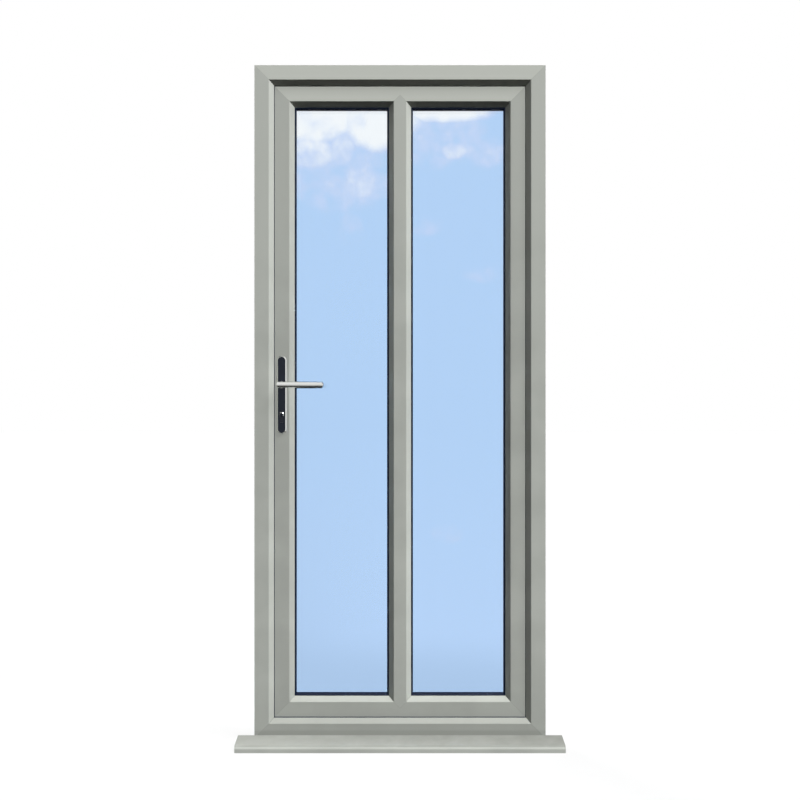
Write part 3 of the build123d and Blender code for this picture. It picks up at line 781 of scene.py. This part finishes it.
def holed_disc(shape: BMesh, radius: float, depth: float, segments: int, taper: float = 1.0) -> list[BMEdge]:
    """Sinks flat faces into a hole, and lays a disc round the hole's mouth.

    Args:
        shape: A bmesh that holds only the hole's outline, as faces on the XY plane.
        radius: The disc's radius.
        depth: How deep the hole is.
        segments: The number of edges round the disc.
        taper: The size of the hole's floor as a share of its mouth.

    Returns:
        The edges round the disc.
    """
    floor = shape.verts[:]
    bmesh.ops.extrude_edge_only(shape, edges=rim(shape))
    bmesh.ops.translate(shape, verts=floor, vec=(0, 0, -depth))
    bmesh.ops.scale(shape, verts=floor, vec=(taper, taper, 1))
    mouth = rim(shape)
    bmesh.ops.create_circle(shape, segments=segments, radius=radius)
    ring = [edge for edge in shape.edges if edge.is_wire]
    bmesh.ops.bridge_loops(shape, edges=mouth + ring)
    return ring


def skirt(shape: BMesh, ring: Sequence[BMEdge], spread: float, drop: float) -> None:
    """Draws a ring of edges out or in, and down.

    Args:
        shape: The bmesh that the ring belongs to.
        ring: The edges.
        spread: The size of the new ring as a share of the old one.
        drop: How far the new ring is moved along Z.
    """
    drawn = bmesh.ops.extrude_edge_only(shape, edges=ring)
    points = [item for item in drawn["geom"] if isinstance(item, bmesh.types.BMVert)]
    bmesh.ops.scale(shape, verts=points, vec=(spread, spread, 1))
    bmesh.ops.translate(shape, verts=points, vec=(0, 0, drop))


@dataclass(frozen=True)
class Screw:
    """A countersunk screw head with a cross recess, modelled on the XY plane."""

    radius: float
    proud: float = 0.6 * MM
    recess: float = 1.9 * MM
    recess_depth: float = 1.1 * MM
    flat_share: float = 0.86
    taper: float = 0.7
    segments: int = 24

    def shape(self) -> BMesh:
        """Models one head.

        Returns:
            A closed bmesh, with its top facing along Z.
        """
        head = bmesh.new()
        bmesh.ops.create_grid(head, x_segments=3, y_segments=3, size=self.recess)
        corners = [f for f in head.faces if min(map(abs, f.calc_center_median()[:2])) > self.recess / 3]
        bmesh.ops.delete(head, geom=corners, context="FACES")
        flat = self.radius * self.flat_share
        ring = holed_disc(head, flat, self.recess_depth, self.segments, self.taper)
        skirt(head, ring, 1 / self.flat_share, -self.proud)
        skirt(head, rim(head), self.taper, -self.recess_depth)
        bmesh.ops.holes_fill(head, edges=rim(head))
        bmesh.ops.translate(head, verts=head.verts, vec=(0, 0, self.proud))
        return head

    def row(self, places: Iterable[Matrix]) -> BMesh:
        """Repeats the head at each place.

        Args:
            places: Where the heads sit, with Z out of the surface.

        Returns:
            One bmesh with all the heads.
        """
        head = self.shape()
        mould = bpy.data.meshes.new("screw mould")
        head.to_mesh(mould)
        head.free()
        together = bmesh.new()
        for place in places:
            before = len(together.verts)
            together.from_mesh(mould)
            together.verts.ensure_lookup_table()
            bmesh.ops.transform(together, matrix=place, verts=together.verts[before:])
        bpy.data.meshes.remove(mould)
        return together


@dataclass
class OuterFrame:
    """The four welded frame bars, their weather gasket, and the cill that they stand on."""

    palette: Palette

    def weld(self) -> Weld:
        """The diagonals that the frame's and the leaf's bars meet on, from the frame's own corners."""
        low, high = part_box("frame_bottom_rail")[0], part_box("frame_head")[1]
        return Weld(high.x, high.z, low.z)

    def dress(self) -> None:
        """Finishes the bars, the gasket and the cill."""
        # painted light and shade: each bar gets a lighter or darker copy of the bar grey, by where it stands
        lit_and_shaded_tones = {
            "frame_head": self.palette.top,
            "frame_bottom_rail": self.palette.foot.shade(1.005),
            "frame_lock_jamb": self.palette.upright,
            "frame_hinge_jamb": self.palette.upright.shade(1.015),
        }
        weld = self.weld()
        for node, tone in lit_and_shaded_tones.items():
            dress([node], upvc(node, tone, weld))
        dress(["cill", "cill_end_caps"], self.palette.cill)
        dress(["frame_gasket"], self.palette.seal)
        log.info("outer frame: %d bars", len(lit_and_shaded_tones))


@dataclass
class Leaf:
    """The four welded leaf bars, the mullion, and the gasket on the leaf."""

    palette: Palette
    weld: Weld

    def mullion_weld(self) -> Weld:
        """The two points of the mullion, as diagonals that start on its middle line."""
        low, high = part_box("mullion")
        return Weld(0.0, low.z, high.z)

    def dress(self) -> None:
        """Finishes the bars and the gasket."""
        point = self.mullion_weld()
        # painted light and shade: the leaf's bars take lighter or darker copies of the bar greys, by where
        # they stand
        side = self.palette.upright.shade(0.955)
        lit_and_shaded_tones = {
            "sash_head": (self.palette.top.shade(0.995), self.weld, point),
            "sash_bottom_rail": (self.palette.foot.shade(1.045), self.weld, point),
            "sash_lock_stile": (side, self.weld),
            "sash_hinge_stile": (side.shade(1.02), self.weld),
            "mullion": (self.palette.upright, point),
        }
        for node, (tone, *welds) in lit_and_shaded_tones.items():
            dress([node], upvc(node, tone, *welds))
        dress(["sash_gasket"], self.palette.seal)
        log.info("leaf: %d bars", len(lit_and_shaded_tones))


@dataclass
class GlazedUnit:
    """One sealed unit with its spacer, its gaskets and its four beads."""

    palette: Palette
    side: str

    def node(self, part: str) -> str:
        """The name of one of this unit's nodes."""
        return f"{self.side}_{part}"

    def dress(self) -> None:
        """Finishes the two panes, the spacer, the gaskets and the beads."""
        dress([self.node("outer_pane")], self.palette.sky_glass)
        dress([self.node("inner_pane")], self.palette.clear_glass)
        low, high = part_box(self.node("spacer"))
        dress([self.node("spacer")], SpacerFinish("Spacer bar", self.palette.spacer, (low.y + high.y) / 2))
        dress([self.node("outer_gasket"), self.node("inner_gasket")], self.palette.seal)
        beads = upvc("bead", self.palette.upright)
        dress([self.node("level_beads"), self.node("upright_beads")], beads)
        log.info("%s glazed unit: 2 panes and 4 beads", self.side)


@dataclass
class HandleSet:
    """The levers, the backplates and the key cylinder, with their screws, collars and key plugs."""

    palette: Palette
    screw: Screw = Screw(4.4 * MM)
    screw_centres: float = 215 * MM
    plug_radius: float = 6.9 * MM
    plug_proud: float = 0.85 * MM
    plug_bevel: float = 1.3 * MM
    plug_segments: int = 32
    keyway_width: float = 1.9 * MM
    keyway_height: float = 8.6 * MM
    keyway_depth: float = 0.765 * MM
    key_round: float = 8.5 * MM
    rim_radius: float = 0.9 * MM
    rim_start: float = math.radians(-52)
    rim_segments: tuple[int, int] = (12, 36)
    collar_segments: int = 40
    # the points of the collar's section, in millimetres from its axis and out from the plate
    collar_outline: tuple[Span, ...] = (
        (9.75, -1.0), (9.75, 1.5), (10.25, 2.0), (10.5, 2.0),
        (11.1, 1.6), (11.4, 0.9), (11.4, -1.0), (9.75, -1.0),
    )

    def dress(self) -> None:
        """Finishes the CAD nodes."""
        dress(["outside_lever", "inside_lever"], self.palette.chrome)
        dress(["outside_backplate", "inside_backplate"], self.palette.plate)
        dress(["key_cylinder"], self.palette.cylinder)
        dress(["spindle"], self.palette.steel)

    def key_place(self, hand: Hand) -> Matrix:
        """The middle of the round end of the key cylinder, on one side of the door."""
        low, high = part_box("key_cylinder")
        return hand.plane((low.x + high.x) / 2, hand.face((low, high)), high.z - self.key_round)

    def plug(self, hand: Hand) -> None:
        """Models the turning plug of the key cylinder: a disc with a bevelled rim and a keyway in it.

        Args:
            hand: The side of the door.
        """
        shape = bmesh.new()
        way = bmesh.ops.create_grid(shape, x_segments=1, y_segments=2, size=1.0)["verts"]
        bmesh.ops.scale(shape, verts=way, vec=(self.keyway_width / 2, self.keyway_height / 2, 1))
        middle = [v for v in way if abs(v.co.y) < self.keyway_height / 4 and v.co.x > 0]
        bmesh.ops.translate(shape, verts=middle, vec=(-self.keyway_width / 3, 0, 0))
        inner = self.plug_radius - self.plug_bevel
        ring = holed_disc(shape, inner, self.keyway_depth, self.plug_segments)
        skirt(shape, ring, self.plug_radius / inner, -self.plug_proud)
        skirt(shape, rim(shape), 1.0, -self.plug_proud)
        bmesh.ops.holes_fill(shape, edges=rim(shape))
        place = self.key_place(hand) @ Matrix.Translation((0, 0, self.plug_proud))
        bmesh.ops.transform(shape, matrix=place, verts=shape.verts)
        new_piece(hand.piece("key_plug"), shape, Body.LEAF, self.palette.plate)

    def key_rim(self, hand: Hand) -> None:
        """Models the half-round bead round the top of the key hole in a backplate.

        Args:
            hand: The side of the door.
        """
        shape = bmesh.new()
        round_bead, round_hole = self.rim_segments
        bead = bmesh.ops.create_circle(shape, segments=round_bead, radius=self.rim_radius)["verts"]
        upright = Matrix.Rotation(math.radians(90), 4, "X")
        reach = Matrix.Translation((self.key_round + self.rim_radius, 0, 0))
        place = Matrix.Rotation(self.rim_start, 4, "Z") @ reach @ upright
        bmesh.ops.transform(shape, matrix=place, verts=bead)
        bead_parts = shape.edges[:] + shape.verts[:]
        angle = math.pi - 2 * self.rim_start
        bmesh.ops.spin(shape, geom=bead_parts, **ABOUT_Z, angle=angle, steps=round_hole)
        bmesh.ops.holes_fill(shape, edges=rim(shape))
        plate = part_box(f"{hand.name.lower()}_backplate")
        seat = self.key_place(hand)
        seat.translation.y = hand.face(plate)
        bmesh.ops.transform(shape, matrix=seat, verts=shape.verts)
        new_piece(hand.piece("key_rim"), shape, Body.LEAF, self.palette.cylinder)

    def collar(self, hand: Hand) -> None:
        """Models the low collar that covers the lever's bearing in a backplate.

        Args:
            hand: The side of the door.
        """
        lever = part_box("spindle")
        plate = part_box(f"{hand.name.lower()}_backplate")
        shape = bmesh.new()
        points = [shape.verts.new((out * MM, 0, rise * MM)) for out, rise in self.collar_outline]
        edges = [shape.edges.new(pair) for pair in zip(points, points[1:])]
        whole = {"angle": 2 * math.pi, "steps": self.collar_segments, "use_merge": True}
        bmesh.ops.spin(shape, geom=points + edges, **ABOUT_Z, **whole)
        place = hand.plane((lever[0].x + lever[1].x) / 2, hand.face(plate), (lever[0].z + lever[1].z) / 2)
        bmesh.ops.transform(shape, matrix=place, verts=shape.verts)
        new_piece(hand.piece("lever_collar"), shape, Body.LEAF, self.palette.chrome)

    def screws(self) -> None:
        """Models the two screws that hold the handle set together, on the inside."""
        low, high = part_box("inside_backplate")
        x = (low.x + high.x) / 2
        middle = (low.z + high.z) / 2
        heights = [middle + way * self.screw_centres / 2 for way in (-1, 1)]
        heads = self.screw.row(Hand.INSIDE.plane(x, high.y, z) for z in heights)
        new_piece("backplate_screws", heads, Body.LEAF, self.palette.chrome)

    def build(self) -> None:
        """Dresses the set and adds its small pieces."""
        self.dress()
        for hand in Hand:
            self.plug(hand)
            self.key_rim(hand)
            self.collar(hand)
        self.screws()
        log.info("handle set: 2 levers and 2 backplates")


@dataclass
class LockEdge:
    """The faceplate, latch and hooks on the leaf, and their keeps on the jamb."""

    palette: Palette
    screw: Screw = Screw(3.9 * MM, proud=0.25 * MM)
    end_margin: float = 12 * MM
    pitch: float = 210 * MM
    latch_room: float = 24 * MM
    hook_room: float = 30 * MM
    keep_margin: float = 20 * MM
    keep_length: float = 126 * MM

    def dress(self) -> None:
        """Finishes the CAD nodes."""
        dress(["lock_faceplate", "latch", "hooks", "latch_keep", "hook_keeps"], self.palette.steel)

    def faceplate_screws(self) -> None:
        """Models the screws down the faceplate, clear of the latch and the hooks."""
        low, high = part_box("lock_faceplate")
        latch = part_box("latch")
        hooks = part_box("hooks")
        span = high.z - low.z - 2 * self.end_margin
        count = round(span / self.pitch)
        heights = [low.z + self.end_margin + span * step / count for step in range(count + 1)]
        heights = [z for z in heights if abs(z - (latch[0].z + latch[1].z) / 2) > self.latch_room]
        heights = [z for z in heights if min(abs(z - hook.z) for hook in hooks) > self.hook_room]
        middle = (low.y + high.y) / 2
        heads = self.screw.row(axes_at(Vector((low.x, middle, z)), Vector((-1, 0, 0))) for z in heights)
        new_piece("faceplate_screws", heads, Body.LEAF, self.palette.steel)

    def keep_screws(self) -> None:
        """Models two screws in each keep."""
        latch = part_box("latch_keep")
        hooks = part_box("hook_keeps")
        keeps = [
            (latch[0].z, latch[1].z),
            (hooks[0].z, hooks[0].z + self.keep_length),
            (hooks[1].z - self.keep_length, hooks[1].z),
        ]
        heights = [z for foot, top in keeps for z in (foot + self.keep_margin, top - self.keep_margin)]
        middle = (latch[0].y + latch[1].y) / 2
        heads = self.screw.row(axes_at(Vector((latch[1].x, middle, z)), Vector((1, 0, 0))) for z in heights)
        new_piece("keep_screws", heads, Body.FRAME, self.palette.steel)

    def build(self) -> None:
        """Dresses the lock edge and adds its screws."""
        self.dress()
        self.faceplate_screws()
        self.keep_screws()
        log.info("lock edge: faceplate, latch, hooks and keeps")


@dataclass
class FlagHinge:
    """One flag hinge: a flag on the jamb, a flag on the leaf, and their screws."""

    palette: Palette
    position: str
    screw: Screw = Screw(4.6 * MM)
    plate_thickness: float = 4.5 * MM
    screw_columns: Span = (10 * MM, 34 * MM)
    screw_rows: Span = (-34 * MM, 34 * MM)

    def dress(self) -> None:
        """Finishes the two flags."""
        dress([f"{self.position}_jamb_flag", f"{self.position}_sash_flag"], self.palette.hinge)

    def screws(self) -> None:
        """Models the four screws of the leaf's flag."""
        low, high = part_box(f"{self.position}_sash_flag")
        plate_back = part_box("sash_hinge_stile")[1].y + self.plate_thickness
        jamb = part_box(f"{self.position}_jamb_flag")
        middle = (jamb[0].z + jamb[1].z) / 2
        heads = self.screw.row(
            Hand.INSIDE.plane(low.x + across, plate_back, middle + rise)
            for across in self.screw_columns
            for rise in self.screw_rows
        )
        new_piece(f"{self.position}_flag_screws", heads, Body.LEAF, self.palette.steel)

    def build(self) -> None:
        """Dresses the hinge and adds its screws."""
        self.dress()
        self.screws()
        log.info("%s hinge: 2 flags", self.position)


@dataclass
class Studio:
    """The camera at the photo's angle, soft light from the upper right, a pale floor and a white surround."""

    camera_distance: float = 3.166
    camera_height: float = 1.065
    lens: float = 46.1
    sensor: float = 36.0
    key_direction: Point = (0.50, -0.45, 0.74)
    key_level: float = 1.81
    key_shadow: float = 0.15
    fill_direction: Point = (-0.55, 0.80, 0.25)
    fill_level: float = 0.74
    lamp_spread: float = 20.0
    bright_side: Point = (0.58, -0.36, 0.73)
    bright_reach: Span = (-0.1, 0.45)
    dark_side: float = 0.03
    ambient: float = 0.45
    ambient_top: float = 0.8
    ambient_back: float = 0.5
    floor_size: float = 60.0
    floor_shade: float = 0.25
    floor_glow: float = 0.57
    floor_fade: Span = (0.45, 1.6)

    def camera(self) -> None:
        """Sets the camera square to the door."""
        data = bpy.data.cameras.new("camera")
        data.lens = self.lens
        data.sensor_width = self.sensor
        camera = linked("camera", data)
        camera.location = (0, -self.camera_distance, self.camera_height)
        camera.rotation_euler = (math.radians(90), 0, 0)
        bpy.context.scene.camera = camera

    def sun(self, name: str, direction: Point, level: float, shadow: bool = True) -> None:
        """Adds a distant soft lamp.

        Args:
            name: The lamp's name.
            direction: The way from the door to the lamp.
            level: The light that it gives a white surface that faces it, where 1 is white.
            shadow: Whether it casts shadows.
        """
        data = bpy.data.lights.new(name, "SUN")
        data.use_shadow = shadow
        data.energy = level * math.pi
        data.angle = math.radians(self.lamp_spread)
        linked(name, data).rotation_euler = Vector(direction).to_track_quat("Z", "Y").to_euler()

    def views(self, board: NodeBoard) -> tuple[Socket, Socket]:
        """Tells apart the rays that look at the studio.

        Args:
            board: The board of the studio's world or floor.

        Returns:
            1 for a plain view, straight or through glass, and 1 for a view in a mirror.
        """
        path = board.add("LightPath", {}).outputs
        unlit = board.math("LESS_THAN", path["Diffuse Depth"], 0.5)
        direct = board.times(unlit, board.math("LESS_THAN", path["Glossy Depth"], 0.5))
        through = board.times(path["Is Transmission Ray"], direct)
        mirrored = board.math("MAXIMUM", path["Is Glossy Ray"], path["Is Transmission Ray"])
        return board.math("MAXIMUM", path["Is Camera Ray"], through), board.times(mirrored, unlit)

    def room(self, board: NodeBoard, way: Source) -> Socket:
        """How bright a mirror shows the studio in one direction: bright on one side, dark on the other.

        Args:
            board: The board of the studio's world or floor.
            way: The direction.

        Returns:
            The brightness, where 1 is white.
        """
        side = Vector(self.bright_side).normalized()
        facing = board.add("VectorMath", {0: way, 1: side}, operation="DOT_PRODUCT").outputs["Value"]
        return board.math("MAXIMUM", board.ramp(facing, *self.bright_reach), self.dark_side)

    def surround(self) -> None:
        """Makes the world: white to look at, dark on one side in mirrors, and lit from the upper front."""
        world = bpy.data.worlds.new("studio")
        world.use_nodes = True
        board = NodeBoard(world.node_tree)
        way = board.places()["Generated"]
        parts = board.parts(way)
        overhead = board.times(board.ramp(parts["Z"], 0.0, self.ambient_top), self.ambient)
        lit = board.times(overhead, board.ramp(parts["Y"], self.ambient_back, 0.0))
        plain, mirrored = self.views(board)
        inputs = {"Factor": mirrored, "A": lit, "B": self.room(board, way)}
        level = board.math("MAXIMUM", board.add("Mix", inputs).outputs["Result"], plain)
        light = board.add("Background", {"Color": WHITE, "Strength": level})
        board.add("OutputWorld", {"Surface": light.outputs[0]})
        bpy.context.scene.world = world

    def floor_material(self) -> bpy.types.Material:
        """Makes a pale finish that keeps the door's shadow, and that metal mirrors darker beside the door.

        Returns:
            The floor's material.
        """
        material = bpy.data.materials.new("Pale floor")
        material.use_nodes = True
        board = NodeBoard(material.node_tree)
        shade = board.add("BsdfDiffuse", {"Color": (self.floor_shade,) * 3 + (1,)})
        glow = board.add("Emission", {"Color": WHITE, "Strength": self.floor_glow})
        seen = board.add("AddShader", {0: shade.outputs[0], 1: glow.outputs[0]})
        position = board.places()["Object"]
        reach = board.add("VectorMath", {0: position}, operation="LENGTH").outputs["Value"]
        way = board.add("VectorMath", {0: position}, operation="NORMALIZE").outputs["Vector"]
        level = board.times(board.ramp(reach, *self.floor_fade), self.room(board, way))
        room = board.add("Emission", {"Color": WHITE, "Strength": level})
        white = board.add("Emission", {"Color": WHITE, "Strength": 1.0})
        mix = board.add("BsdfDiffuse", {"Color": (0, 0, 0, 1)}).outputs[0]
        plain, mirrored = self.views(board)
        camera = board.add("LightPath", {}).outputs["Is Camera Ray"]
        for ray, shader in ((mirrored, room), (plain, white), (camera, seen)):
            mix = board.add("MixShader", {0: ray, 1: mix, 2: shader.outputs[0]}).outputs[0]
        board.add("OutputMaterial", {"Surface": mix})
        return material

    def floor(self) -> None:
        """Lays the floor."""
        shape = bmesh.new()
        bmesh.ops.create_grid(shape, x_segments=1, y_segments=1, size=self.floor_size / 2)
        mesh = bpy.data.meshes.new("floor")
        shape.to_mesh(mesh)
        shape.free()
        mesh.materials.append(self.floor_material())
        floor = linked("floor", mesh)

    def build(self) -> None:
        """Sets up the whole studio."""
        self.camera()
        self.sun("key", self.key_direction, self.key_level * self.key_shadow)
        self.sun("soft key", self.key_direction, self.key_level * (1 - self.key_shadow), shadow=False)
        self.sun("fill", self.fill_direction, self.fill_level)
        self.surround()
        self.floor()
        bpy.context.scene.view_settings.view_transform = "Standard"
        log.info("studio: camera, three lamps, floor")


def main() -> None:
    """Builds the studio and dresses the door, sub-assembly by sub-assembly."""
    logging.basicConfig(level=logging.INFO, format="%(name)s: %(message)s")
    palette = Palette()
    Studio().build()
    outer = OuterFrame(palette)
    outer.dress()
    Leaf(palette, outer.weld()).dress()
    for side in ("left", "right"):
        GlazedUnit(palette, side).dress()
    HandleSet(palette).build()
    LockEdge(palette).build()
    for position in ("lower", "middle", "upper"):
        FlagHinge(palette, position).build()
    dress(["hinge_pins"], palette.steel)


if __name__ == "__main__":
    main()
